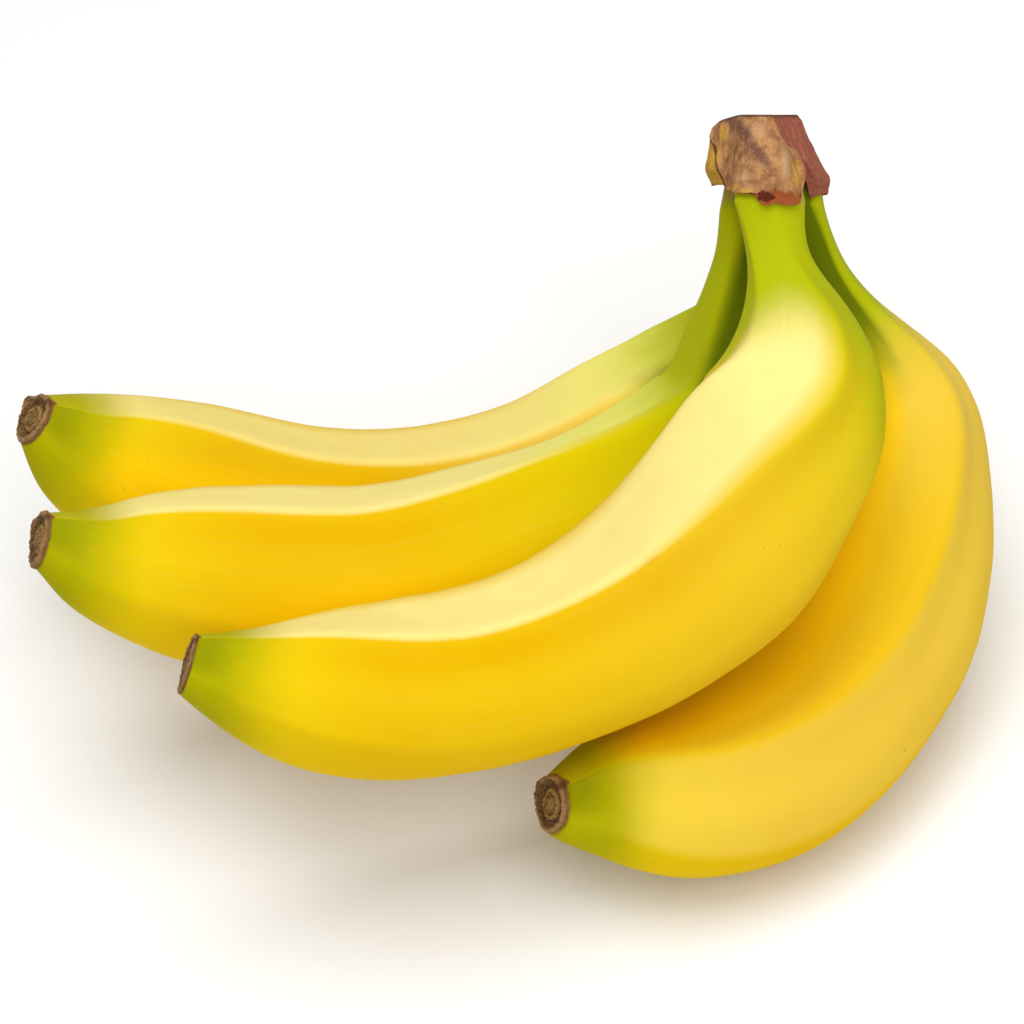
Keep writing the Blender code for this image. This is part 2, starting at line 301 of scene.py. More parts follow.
class BunchSizes(bpy.types.PropertyGroup):
    """Sizes of the bunch's finer features."""

    crest: bpy.props.FloatProperty(
        name="Ridge crest", description="How far a ridge's crest stands out of the peel",
        default=0.12 * MM, unit="LENGTH")
    crest_width: bpy.props.FloatProperty(
        name="Crest width", description="Half width of a ridge's crest, as an angle",
        default=math.radians(7.0), subtype="ANGLE")
    run_up: bpy.props.FloatProperty(
        name="Neck run-up", description="How far a neck runs up inside the crown",
        default=5.0 * MM, unit="LENGTH")
    husk: bpy.props.FloatProperty(
        name="Husk", description="Thickness of the crown's dry skin over the necks",
        default=0.5 * MM, unit="LENGTH")
    neck_green: bpy.props.FloatProperty(
        name="Green neck", description="How far the green reaches down from the crown",
        default=36.0 * MM, unit="LENGTH")
    tip_green: bpy.props.FloatProperty(
        name="Green tip", description="How far the green reaches from the dry tip",
        default=17.0 * MM, unit="LENGTH")


def colour_setting(name, description, default):
    """A colour that a user may change."""
    return bpy.props.FloatVectorProperty(
        name=name, description=description, default=default, subtype="COLOR")


class BunchColours(bpy.types.PropertyGroup):
    """Colours of the bunch."""

    gold: colour_setting("Peel", "Golden yellow of the ripe peel", (0.72, 0.46, 0.005))
    deep: colour_setting("Deep peel", "Deeper yellow below the ridges", (0.72, 0.41, 0.001))
    # Partly the peel's own paler colour, partly a painted highlight: the sheen and light on the upward inner
    # faces
    pale: colour_setting("Pale peel", "Pale yellow of the inner faces", (0.90, 0.75, 0.26))
    lemon: colour_setting("Lemon", "Clearer yellow towards the tips", (0.74, 0.52, 0.004))
    verge: colour_setting("Verge", "Olive yellow of the outer faces near the necks", (0.60, 0.53, 0.002))
    # Laid over the pale faces near the necks, so partly a painted highlight as well
    lime: colour_setting("Lime", "Greenish yellow of the inner faces near the necks", (0.78, 0.79, 0.10))
    # Painted shade: laid where the other fingers cover the peel, with the render's own shade on top
    shade: colour_setting("Contact", "Deep orange yellow where fingers lie together", (0.93, 0.57, 0.001))
    neck: colour_setting("Neck green", "Yellow green of the necks", (0.40, 0.43, 0.004))
    # Painted shade between the necks
    painted_neck_shade: colour_setting("Between necks", "Dark olive between the necks", (0.09, 0.12, 0.002))
    fringe: colour_setting("Fringe", "Dry skin between crown and neck", (0.50, 0.27, 0.13))
    tip: colour_setting("Tip green", "Yellow green towards the dry tips", (0.40, 0.37, 0.002))
    olive: colour_setting("Tip olive", "Dark olive next to the dry tips", (0.22, 0.23, 0.002))
    scar: colour_setting("Scars", "Brown of specks and rubbed ridges", (0.25, 0.10, 0.03))
    cork: colour_setting("Cork", "Tan of the dry tissue", (0.50, 0.30, 0.14))
    cork_dark: colour_setting("Dark cork", "Dark brown of the dry tissue", (0.10, 0.045, 0.025))
    ochre: colour_setting("Ochre", "Yellow brown patches of the crown", (0.55, 0.31, 0.04))


class BunchStage(bpy.types.PropertyGroup):
    """Floor, lights and camera."""

    distance: bpy.props.FloatProperty(
        name="Camera distance", description="From the hand's origin to the camera", default=0.85,
        unit="LENGTH")
    view_width: bpy.props.FloatProperty(
        name="View width", description="Width of the picture at the hand's origin", default=0.2048,
        unit="LENGTH")
    floor: colour_setting("Floor", "Colour of the floor", (0.90, 0.90, 0.90))
    key: bpy.props.FloatProperty(
        name="Key light", description="Overhead soft box", default=11.4, unit="POWER")
    fill: bpy.props.FloatProperty(
        name="Fill light", description="Low soft box in front", default=1.5, unit="POWER")
    front: bpy.props.FloatProperty(
        name="Front light", description="Soft box in front, to the right", default=2.7, unit="POWER")
    sky: bpy.props.FloatProperty(
        name="Room light", description="Strength of the even light around", default=0.42, min=0.0)


def cubic(knots, values, at):
    """The natural cubic spline through values at knots, read at the places in at."""
    count = len(knots)
    step = np.diff(knots)
    slope = np.diff(values, axis=0) / step[:, None]
    matrix = np.eye(count)
    right = np.zeros_like(values)
    for row in range(1, count - 1):
        matrix[row, row - 1:row + 2] = (step[row - 1], 2 * (step[row - 1] + step[row]), step[row])
        right[row] = 6 * (slope[row] - slope[row - 1])
    bend = np.linalg.solve(matrix, right)
    span = np.clip(np.searchsorted(knots, at, side="right") - 1, 0, count - 2)
    width = step[span][:, None]
    past = (at - knots[span])[:, None] / width
    left = 1 - past
    return (left * values[span] + past * values[span + 1]
            + ((left ** 3 - left) * bend[span] + (past ** 3 - past) * bend[span + 1]) * width ** 2 / 6)


def unit(rows):
    """Rows scaled to length one."""
    return rows / np.linalg.norm(rows, axis=-1, keepdims=True)


def ease(share):
    """A smooth step from 0 to 1."""
    share = np.clip(share, 0.0, 1.0)
    return share * share * (3 - 2 * share)


def bump(distance, width):
    """A bell: 1 at distance 0, near 0 past twice the width."""
    return np.exp(-(distance / width) ** 2)


def fade(distance, reach):
    """1 up to half the reach, falling to 0 at one and a half times the reach."""
    return np.clip(1.5 - distance / reach, 0.0, 1.0)


def wrap(angle):
    """An angle as one between minus and plus half a turn."""
    return (angle + math.pi) % FULL_TURN - math.pi


def ripple(points, size, seed, waves=24):
    """Seeded smooth noise about -1 to 1: sine waves of about one size in random directions, added up."""
    draw = np.random.default_rng(seed)
    heading = unit(draw.normal(size=(waves, 3)))
    pitch = FULL_TURN / (size * draw.uniform(0.7, 1.4, waves))
    phase = draw.uniform(0, FULL_TURN, waves)
    total = np.zeros(points.shape[:-1])
    for wave in range(waves):
        total += np.sin(points @ heading[wave] * pitch[wave] + phase[wave])
    return total * math.sqrt(2.0 / waves) * 0.7


def section(angle):
    """Rounded five-sided outline: its radius at an angle from a ridge, 1 halfway from flat to ridge.

    Each flat side pulls with the power SHARPNESS of the cosine to it, and the sides are summed.
    """
    def outline(turn):
        pull = 0.0
        for side in range(SIDES):
            facing = (side + 0.5) * FULL_TURN / SIDES
            pull = pull + np.maximum(np.cos(turn - facing), 0.0) ** SHARPNESS
        return pull ** (-1 / SHARPNESS)

    flat = outline(math.pi / SIDES)
    ridge = outline(0.0)
    return outline(angle) * 2 / (flat + ridge)


def finger_frame(name, count):
    """Along a finger at count even steps: share, distance, centre, half thickness, axes and twist."""
    points = np.array(FINGERS[name])
    knots = np.concatenate(([0.0], np.cumsum(np.linalg.norm(np.diff(points[:, :3], axis=0), axis=1))))
    share = np.linspace(0.0, 1.0, count)
    line = cubic(knots, points, share * knots[-1])
    centre = line[:, :3]
    along = unit(np.gradient(centre, axis=0))
    # Both ends are cut square to the crown and to the dry tip
    at_crown = ease(1 - share / TURN_SHARE)[:, None]
    at_tip = ease(1 - (1 - share) / TURN_SHARE)[:, None]
    along = unit(along * (1 - at_crown) + at_crown * np.array((0.0, -1.0, 0.0)))
    along = unit(along * (1 - at_tip) + at_tip * unit(np.array(TIP_FACES[name])))
    viewer = np.array((0.0, 0.0, 1.0))
    front = unit(viewer - (along @ viewer)[:, None] * along)
    side = np.cross(along, front)
    turn = np.array(RIDGES[name])
    twist = np.radians(cubic(turn[:, 0], turn[:, 1:], share)[:, 0])
    return share, share * knots[-1], centre, line[:, 3], along, front, side, twist


def to_world(points):
    """Hand millimetres to the frame's metres, pressed flat where they would sink into the table."""
    world = (points @ np.array(HAND).T + np.array(HAND_AT)) * MM
    world[..., 2] = np.maximum(world[..., 2], 0.0)
    return world


def grid_piece(name, points, first, last, fields, material, node):
    """A closed mesh over a grid: rings of points joined by quads, each end drawn together in one pole."""
    rows, around = points.shape[:2]
    vertices = to_world(np.concatenate((points.reshape(-1, 3), [first], [last])))
    index = np.arange(rows * around).reshape(rows, around)
    after = np.roll(index, -1, axis=1)
    quads = np.stack((index[:-1], after[:-1], after[1:], index[1:]), axis=-1).reshape(-1, 4)
    low = np.stack((after[0], index[0], np.full(around, rows * around)), axis=-1)
    high = np.stack((index[-1], after[-1], np.full(around, rows * around + 1)), axis=-1)
    ends = np.concatenate((low, high))
    # The sign of the volume says whether the faces point outwards
    fans = np.concatenate((quads[:, [0, 1, 2]], quads[:, [0, 2, 3]], ends))
    corner = vertices[fans]
    if np.einsum("ij,ij->i", corner[:, 0], np.cross(corner[:, 1], corner[:, 2])).sum() < 0:
        quads = quads[:, ::-1]
        ends = ends[:, ::-1]
    loops = np.concatenate((quads.ravel(), ends.ravel())).astype(np.int32)
    sizes = np.concatenate((np.full(len(quads), 4), np.full(len(ends), 3))).astype(np.int32)
    mesh = bpy.data.meshes.new(name)
    mesh.vertices.add(len(vertices))
    mesh.vertices.foreach_set("co", vertices.ravel())
    mesh.loops.add(len(loops))
    mesh.loops.foreach_set("vertex_index", loops)
    mesh.polygons.add(len(sizes))
    mesh.polygons.foreach_set("loop_start", np.concatenate(([0], np.cumsum(sizes)[:-1])).astype(np.int32))
    mesh.update(calc_edges=True)
    mesh.shade_smooth()
    for field, values in fields.items():
        if values.ndim == 3:
            ended = np.concatenate((values.reshape(-1, 3), [values[0].mean(0)], [values[-1].mean(0)]))
            mesh.attributes.new(field, "FLOAT_VECTOR", "POINT").data.foreach_set("vector", ended.ravel())
        else:
            ended = np.concatenate((values.ravel(), [values[0].mean()], [values[-1].mean()]))
            mesh.attributes.new(field, "FLOAT", "POINT").data.foreach_set("value", ended)
    if mesh.validate():
        raise RuntimeError(name + " has broken faces")
    mesh.materials.append(material)
    piece = bpy.data.objects.new(name, mesh)
    bpy.context.scene.collection.objects.link(piece)
    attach(piece, "root")
    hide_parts(node)
    return piece


class Wire:
    """A node's output that reads like a number: each operator adds the Math node that works it out."""

    def __init__(self, paint, socket):
        self.paint = paint
        self.socket = socket

    def math(self, operation, *values):
        """A Math node on wires and numbers."""
        return self.paint.add("ShaderNodeMath", {"operation": operation}, dict(enumerate(values)))

    def __add__(self, other):
        return self.math("ADD", self, other)

    def __sub__(self, other):
        return self.math("SUBTRACT", self, other)

    def __rsub__(self, other):
        return self.math("SUBTRACT", other, self)

    def __mul__(self, other):
        return self.math("MULTIPLY", self, other)

    __radd__ = __add__
    __rmul__ = __mul__

    def most(self, other):
        """The larger of the two."""
        return self.math("MAXIMUM", self, other)

    def rise(self, low, high):
        """A smooth step: 0 up to low, 1 from high on. It falls when low is above high."""
        return self.paint.add(
            "ShaderNodeMapRange", {"interpolation_type": "SMOOTHSTEP"},
            {"Value": self, "From Min": low, "From Max": high})


class Paint:
    """A procedural material on one Principled shader. Every other node comes from add()."""

    def __init__(self, name, **constants):
        self.material = bpy.data.materials.new(name)
        self.material.use_nodes = True
        self.tree = self.material.node_tree
        self.shader = self.tree.nodes["Principled BSDF"]
        for socket, value in constants.items():
            self.shader.inputs[socket.replace("_", " ").title().replace("Ior", "IOR")].default_value = value
        self.place = self.add("ShaderNodeTexCoord", output="Object")

    def add(self, kind, settings=None, inputs=None, output=0):
        """One node: its settings first, then the values or links of its sockets."""
        node = self.tree.nodes.new(kind)
        for setting, value in (settings or {}).items():
            setattr(node, setting, value)
        for key, value in (inputs or {}).items():
            self.feed(node.inputs[key], value)
        return Wire(self, node.outputs[output])

    def feed(self, socket, value):
        """A link from a wire, or a fixed value."""
        if isinstance(value, Wire):
            self.tree.links.new(value.socket, socket)
        else:
            socket.default_value = value

    def field(self, name, output="Fac"):
        """One of the mesh's own attributes."""
        return self.add("ShaderNodeAttribute", {"attribute_name": name}, output=output)

    def noise(self, size, detail=2.0, rough=0.5, place=None):
        """Noise from 0 to 1 with features of about a size, in the units of its place."""
        return self.add("ShaderNodeTexNoise", inputs={
            "Vector": place or self.place, "Scale": 1.0 / size, "Detail": detail, "Roughness": rough})

    def stretched(self, place, scale):
        """A place with each axis scaled."""
        return self.add("ShaderNodeVectorMath", {"operation": "MULTIPLY"}, {0: place, 1: scale})

    def mix(self, amount, start, end):
        """From one colour to another: the Mix node's factor is socket 0, its colours 6, 7 and output 2."""
        return self.add(
            "ShaderNodeMix", {"data_type": "RGBA"}, {0: amount, 6: colour(start), 7: colour(end)}, output=2)

    def finish(self, **sockets):
        """Feed the shader's own sockets."""
        for socket, value in sockets.items():
            self.feed(self.shader.inputs[socket.replace("_", " ")], value)
        return self.material

    def relief(self, height, depth):
        """A normal from a height between 0 and 1, raised by a depth in metres."""
        return self.add("ShaderNodeBump", inputs={"Height": height, "Distance": depth, "Strength": 1.0})


def colour(value):
    """A colour for a node: a wire as it is, three numbers with a full alpha."""
    if isinstance(value, Wire):
        return value
    return (*value, 1.0)


def peel_paint(colours):
    """Waxy peel: gold with deeper faces and paler faces, these partly a painted highlight, painted shade
    where the fingers cover each other and between the necks, green ends, faint fibres, specks and rubbed
    ridges.
    """
    paint = Paint("banana_peel", specular_ior_level=0.003)
    # How much the other fingers cover each point's view: the mask of the painted shade
    near = paint.field("near")
    lime = paint.field("lime")
    grain = paint.field("grain", "Vector")
    neck = paint.field("neck")
    tip = paint.field("tip")
    pale = paint.field("pale")
    ridge = paint.field("ridge")
    under = paint.field("under")
    stain = paint.field("stain")

    broad = paint.noise(30 * MM, detail=2.0)
    cloud = paint.noise(9 * MM, detail=3.0, rough=0.6)
    fibre = paint.noise(1.1, detail=3.0, rough=0.6, place=paint.stretched(grain, (1.0, 1.0, 0.035)))
    fine = paint.noise(0.35 * MM, detail=2.0)

    skin = paint.mix(broad.rise(0.35, 0.7) * 0.4 + under, colours.gold, colours.deep)
    skin = paint.mix((tip + (cloud - 0.5) * 0.4).rise(-1.3, 0.6), skin, colours.lemon)
    # Pale faces: partly the peel's own colour, partly a painted highlight of the sheen and light on the
    # upward inner faces
    skin = paint.mix(pale * (0.90 + 0.10 * cloud.rise(0.3, 0.7)), skin, colours.pale)
    wobble = (cloud - 0.5) * 0.35 + (fibre - 0.5) * 0.15
    green_neck = (neck + wobble * 0.6).rise(0.15, 0.85)
    green_tip = (tip + (cloud - 0.5) * 0.25).rise(0.0, 1.0)
    verge = (paint.field("verge") + wobble * 0.4).rise(0.0, 1.0)
    # Painted shade: a deep orange yellow where the other fingers cover the view
    skin = paint.mix(near.rise(0.30, 0.80) * 0.8, skin, colours.shade)
    skin = paint.mix((lime + wobble * 0.5).rise(0.1, 1.1), skin, colours.lime)
    skin = paint.mix(verge, skin, colours.verge)
    skin = paint.mix(green_neck, skin, colours.neck)
    skin = paint.mix(green_tip, skin, colours.tip)
    skin = paint.mix((paint.field("olive") + (cloud - 0.5) * 0.6).rise(0.2, 1.3) * 0.8, skin, colours.olive)
    skin = paint.mix((fibre - 0.5).rise(0.0, 0.35) * 0.03, skin, colours.pale)
    # Painted shade: dark olive between the necks, where the other fingers cover the view
    skin = paint.mix(near.rise(0.22, 0.44) * green_neck * 0.9, skin, colours.painted_neck_shade)
    skin = paint.mix((paint.field("fringe") + wobble).rise(0.35, 0.95) * 0.45, skin, colours.fringe)

    speckle = paint.noise(0.8 * MM, detail=1.0).rise(0.73, 0.78)
    gather = paint.noise(7 * MM, detail=2.0).rise(0.58, 0.72)
    dashes = paint.noise(1.6, detail=2.0, place=paint.stretched(grain, (1.0, 1.0, 0.25))).rise(0.54, 0.64)
    rubbed = ridge * gather * dashes
    marks = (speckle * gather * 0.5).most(rubbed * 0.12)
    skin = paint.mix(marks, skin, colours.scar)
    brown = (stain + (fine - 0.5) * 0.5 + (cloud - 0.5) * 0.7).rise(0.45, 0.65)
    skin = paint.mix(brown, skin, colours.scar)

    roughness = 0.36 + 0.12 * cloud + brown * 0.3
    dimple = paint.noise(0.5 * MM, detail=1.0)
    normal = paint.relief(fibre * 0.6 + dimple * 0.4, 0.03 * MM)
    return paint.finish(Base_Color=skin, Roughness=roughness, Normal=normal)


def tip_paint(colours):
    """Dry blossom end: brown cork, tan rim with dark nibs, honeycomb groove, ochre ring and ringed nub."""
    paint = Paint("dry_blossom_end", roughness=0.85, specular_ior_level=0.2)
    reach = paint.field("reach")
    nib = paint.field("nib")
    disc = paint.field("disc", "Vector")
    crumb = paint.noise(0.35 * MM, detail=3.0, rough=0.65)
    cloud = paint.noise(1.6 * MM, detail=3.0, rough=0.6)
    cells = paint.add(
        "ShaderNodeTexVoronoi", {"feature": "DISTANCE_TO_EDGE"}, {"Vector": disc, "Scale": 1.1})
    walls = cells.rise(0.16, 0.03)
    rings = reach + (cloud - 0.5) * 0.08
    groove = rings.rise(0.52, 0.58) * rings.rise(0.82, 0.77)
    ochre_ring = rings.rise(0.38, 0.42) * rings.rise(0.55, 0.50)
    rim = rings.rise(0.80, 0.86) * rings.rise(0.985, 0.95)
    turns = reach * 75.0 + cloud * 4.0
    laps = turns.math("SINE", turns)
    nub = rings.rise(0.38, 0.33)
    skin = paint.mix(cloud.rise(0.3, 0.7), TIP_COLOURS["dark"], TIP_COLOURS["brown"])
    skin = paint.mix(groove * 0.8, skin, TIP_COLOURS["groove"])
    skin = paint.mix(groove * walls * 0.40, skin, TIP_COLOURS["walls"])
    skin = paint.mix(ochre_ring * 0.6, skin, TIP_COLOURS["ochre"])
    skin = paint.mix(rim * (0.25 + cloud * 0.5), skin, TIP_COLOURS["rim"])
    skin = paint.mix(nub * laps.rise(0.0, 1.0) * 0.6, skin, TIP_COLOURS["nub"])
    skin = paint.mix(nib.rise(0.35, 0.9) * 0.85, skin, TIP_COLOURS["nib"])
    skin = paint.mix(crumb.rise(0.52, 0.75) * 0.25, skin, colours.cork)
    normal = paint.relief(crumb, 0.18 * MM)
    return paint.finish(Base_Color=skin, Roughness=0.78 + 0.2 * crumb, Normal=normal)


def crown_paint(colours):
    """Cut crown: mottled tan husk with bright and ochre patches, one bright patch a painted highlight, a dark
    streak, a red band, a dark rim, and painted shadow lines along the front plate's left and lower left
    edges.
    """
    paint = Paint("crown_husk", roughness=0.75, specular_ior_level=0.02)
    band = paint.field("band")
    crumb = paint.noise(0.45 * MM, detail=4.0, rough=0.7)
    cloud = paint.noise(2.4 * MM, detail=4.0, rough=0.65)
    broad = paint.noise(7.0 * MM, detail=3.0, rough=0.55)
    wobble = (cloud - 0.5) * 2.0 + (crumb - 0.5) * 0.7

    def patch(name, low, high, spread=1.0):
        """A painted place of the husk, with a border that wanders by the noise."""
        return (paint.field(name) + wobble * spread).rise(low, high)

    hues = CROWN_COLOURS
    skin = paint.mix((cloud + (crumb - 0.5) * 0.5).rise(0.32, 0.68), hues["tan"], hues["brown"])
    # Lighter places of the husk, one of them a painted highlight
    skin = paint.mix(patch("bright", 0.2, 1.3) * 0.5, skin, hues["bright"])
    skin = paint.mix(patch("ochre", 0.35, 0.95) * 0.85, skin, colours.ochre)
    skin = paint.mix(patch("streak", 0.1, 0.95, 0.4) * 0.75, skin, hues["streak"])
    # Painted shadow along the front plate's left edge, where it meets the flap
    skin = paint.mix(patch("seam", 0.40, 0.80, 0.3) * 0.85, skin, hues["seam"])
    skin = paint.mix((crumb - 0.5).rise(0.04, 0.22) * 0.45, skin, hues["fleck"])
    red = paint.mix((crumb + (cloud - 0.5) * 0.6).rise(0.25, 0.8), hues["red_dark"], hues["red"])
    skin = paint.mix((band + wobble * 0.9).rise(0.3, 0.7), skin, red)
    skin = paint.mix(patch("rust", 0.40, 0.60, 0.5) * 0.9, skin, hues["rust"])
    # A dark patch of the husk, and a painted shadow line under the front plate's lower left rim
    skin = paint.mix(patch("blot", 0.35, 0.65, 0.9) * 0.95, skin, hues["blot"])
    skin = paint.mix(patch("top", 0.35, 0.75, 0.2) * 0.8, skin, colours.cork_dark)
    skin = paint.mix((0.5 - crumb).rise(0.03, 0.20) * 0.5, skin, colours.cork_dark)
    normal = paint.relief(crumb * 0.6 + broad * 0.4, 0.30 * MM)
    return paint.finish(Base_Color=skin, Roughness=0.6 + 0.3 * crumb, Normal=normal)


def shading(name, points, outward):
    """Share of each point's view that the other fingers cover: pieces of them, each taken as a disc.

    A piece counts with the cosine to the surface, its width and length, over the distance squared.
    """
    covered = np.zeros(points.shape[:-1])
    for other in FINGERS:
        if other != name:
            distance, centre, half = finger_frame(other, SHADE_STEPS)[1:4]
            length = distance[1] - distance[0]
            for middle, reach in zip(centre, half):
                away = middle - points
                far = np.linalg.norm(away, axis=-1)
                facing = np.clip((away * outward).sum(axis=-1) / far, 0.0, 1.0)
                covered += facing * 2 * reach * length / (math.pi * np.maximum(far, reach) ** 2)
    return np.clip(covered, 0.0, 1.0)


def finger_surface(name, sizes):
    """Peel of one finger, as a function of the share along it and the angle around it.

    Point = centre(share) + radius(share, angle) * direction(angle). The radius is the half thickness
    times the five-sided outline, plus a fine crest on each ridge and a slow unevenness. At the crown the
    neck runs on straight up inside the husk, drawing in a little.
    """
    share, distance, centre, half, along, front, side, twist = finger_frame(name, PEEL_RINGS)
    run_up = sizes.run_up / MM
    extra = np.linspace(run_up, run_up / RUN_UP_RINGS, RUN_UP_RINGS)
    straight = centre[:1] - along[:1] * extra[:, None]
    centre = np.concatenate((straight, centre))
    half = np.concatenate((half[0] * (1 - RUN_UP_DRAW * extra / run_up), half))
    along, front, side = (
        np.concatenate((np.repeat(row[:1], RUN_UP_RINGS, axis=0), row)) for row in (along, front, side))
    share = np.concatenate((np.zeros(RUN_UP_RINGS), share))
    distance = np.concatenate((-extra, distance))
    twist = np.concatenate((np.repeat(twist[:1], RUN_UP_RINGS), twist))

    around = np.arange(PEEL_AROUND) * FULL_TURN / PEEL_AROUND
    ridge = END_RIDGE + (1 - END_RIDGE) * ease(np.minimum(share, 1 - share) / NECK_SHARE)
    # Full ridges beside the inner face, blunter ones on the rest of the finger
    off_face = np.abs(wrap(around - INNER_FACE))
    blunt = 1 - (1 - FAR_RIDGE) * ease((off_face - BLUNT_FROM) / BLUNT_OVER)
    radius = half[:, None] * (1 + ridge[:, None] * ((section(around) - 1) * blunt)[None, :])
    off_ridge = wrap(around * SIDES) / SIDES
    crest = (bump(off_ridge, sizes.crest_width) * blunt)[None, :] * np.ones_like(radius)
    radius = radius + crest * sizes.crest / MM * ease(distance / CREST_RISE)[:, None]
    thin = NECK_THIN + (1 - NECK_THIN) * ease(share / NECK_SHARE)
    angle = around[None, :] + twist[:, None]
    outward = (np.cos(angle) * thin[:, None])[..., None] * front[:, None, :]
    outward = outward + np.sin(angle)[..., None] * side[:, None, :]
    points = centre[:, None, :] + radius[..., None] * outward
    slow, quick = SLOW_WAVE, QUICK_WAVE
    uneven = ripple(points, slow[0], seed=len(name)) * slow[1] + ripple(points, quick[0], seed=7) * quick[1]
    points = points + uneven[..., None] * outward
    fields = peel_fields(name, sizes, points, unit(outward), crest, distance, around, angle)
    return points, centre[0], centre[-1], fields


def peel_fields(name, sizes, points, outward, crest, distance, around, angle):
    """What the peel's paint reads at each point of a finger.

    The fields are worked out from the distance to the crown, the angle around the finger from its first
    ridge, the angle from the viewer, and the shade of the other fingers.
    """
    left = distance[-1] - distance
    inside = np.cos(around - INNER_FACE)
    # The pale face is partly a painted highlight of the light on the upward inner faces; the right finger's
    # pale outer face is painted light
    by_neck = ease(fade(distance, PALE_NECK_REACH))[:, None]
    beyond = around[None, :] > INNER_FACE
    soft = np.radians(np.where(beyond, PALE_BEYOND, PALE_SOFT + PALE_SOFT_NECK * by_neck))
    spread = np.radians(PALE_HALF + PALE_BEYOND * by_neck * beyond)
    pale = ease((spread - np.abs(around - INNER_FACE)[None, :]) / soft)
    outer = ease((OUTER_HALF - np.abs(around + INNER_FACE - FULL_TURN)) / OUTER_SOFT)
    fair_amount, fair_reach = FAIR_FINGERS.get(name, NOWHERE)
    fair = (fair_amount * ease(fade(distance, fair_reach)))[:, None]
    washed = np.maximum(pale, fair)

    # Dry skin of the crown that runs out onto the neck
    whole = np.ones_like(crest)
    fringe = ease((FRINGE_ENDS[name] - distance) / FRINGE_FADE)[:, None] * whole
    if name == "front":
        fringe = fringe * ease(points[..., 0] - FRINGE_LEFT)

    # The green reaches further down on one side of a neck than on another
    rightward = np.clip(-np.sin(angle), 0.0, 1.0)
    more_inside = (NECK_INNER.get(name, 1.0) - 1) * np.clip(inside, 0.0, 1.0)[None, :]
    greener = 1 + more_inside + (NECK_RIGHT.get(name, 1.0) - 1) * rightward
    verge_amount, verge_reach = VERGE_FINGERS.get(name, NOWHERE)
    verge = verge_amount * (1 - pale) * fade(distance[:, None], verge_reach)
    green_amount, green_reach = GREEN_RIDGES.get(name, NOWHERE)
    first_ridge = bump(wrap(around), GREEN_RIDGE_WIDTH)
    green_ridge = green_amount * first_ridge[None, :] * ease(fade(distance, green_reach))[:, None]

    tip_green = sizes.tip_green / MM
    olive = np.clip(TIP_GREEN_START - left[:, None] / (OLIVE_SHARE * tip_green), 0.0, 1.0)
    low = ease((LOW_HALF - np.abs(around - LOW_SIDE)) / LOW_SOFT)
    # What the other fingers cover of each point's view: the mask of the painted shade
    near = shading(name, points, outward)
    at_neck = (NECK_SHADE[name] - 1) * ease(fade(distance, NECK_SHADE_REACH))[:, None]
    under = UNDER_FINGERS.get(name, 0.0) * bump(around - UNDER_PLACE, UNDER_WIDTH)
    by_tip = bump(left, STAIN_EDGE[0])[:, None] * STAIN_EDGE[1]
    up_ridge = bump(around, STAIN_RIDGE_WIDTH)[None, :] * bump(left, STAIN_RIDGE[0])[:, None] * STAIN_RIDGE[1]
    return {
        "grain": np.stack((
            GRAIN_RADIUS * np.cos(around) * whole, GRAIN_RADIUS * np.sin(around) * whole,
            (distance[:, None] + GRAIN_STRETCH * len(name)) * whole), axis=-1),
        "neck": fade(distance[:, None], sizes.neck_green / MM * greener),
        "tip": np.clip(TIP_GREEN_START - left[:, None] / tip_green, -1.5, 1.0) - 0.10 * pale,
        "olive": olive * low[None, :],
        "pale": 1 - (1 - pale * PALE_FINGERS[name] - outer * OUTER_FINGERS.get(name, 0.0)) * (1 - fair),
        "under": under * (1 - fair),
        "near": near * (1 + at_neck) + NECK_SHADE_ALL * np.maximum(at_neck, 0.0),
        "fringe": fringe,
        "lime": washed * LIME_FINGERS.get(name, 0.0) * fade(distance[:, None], LIME_REACH),
        "verge": np.maximum(verge, green_ridge),
        "ridge": crest * ease(distance / RUBBED_FROM)[:, None] * ease(left / RUBBED_TO)[:, None],
        "stain": by_tip + up_ridge,
    }


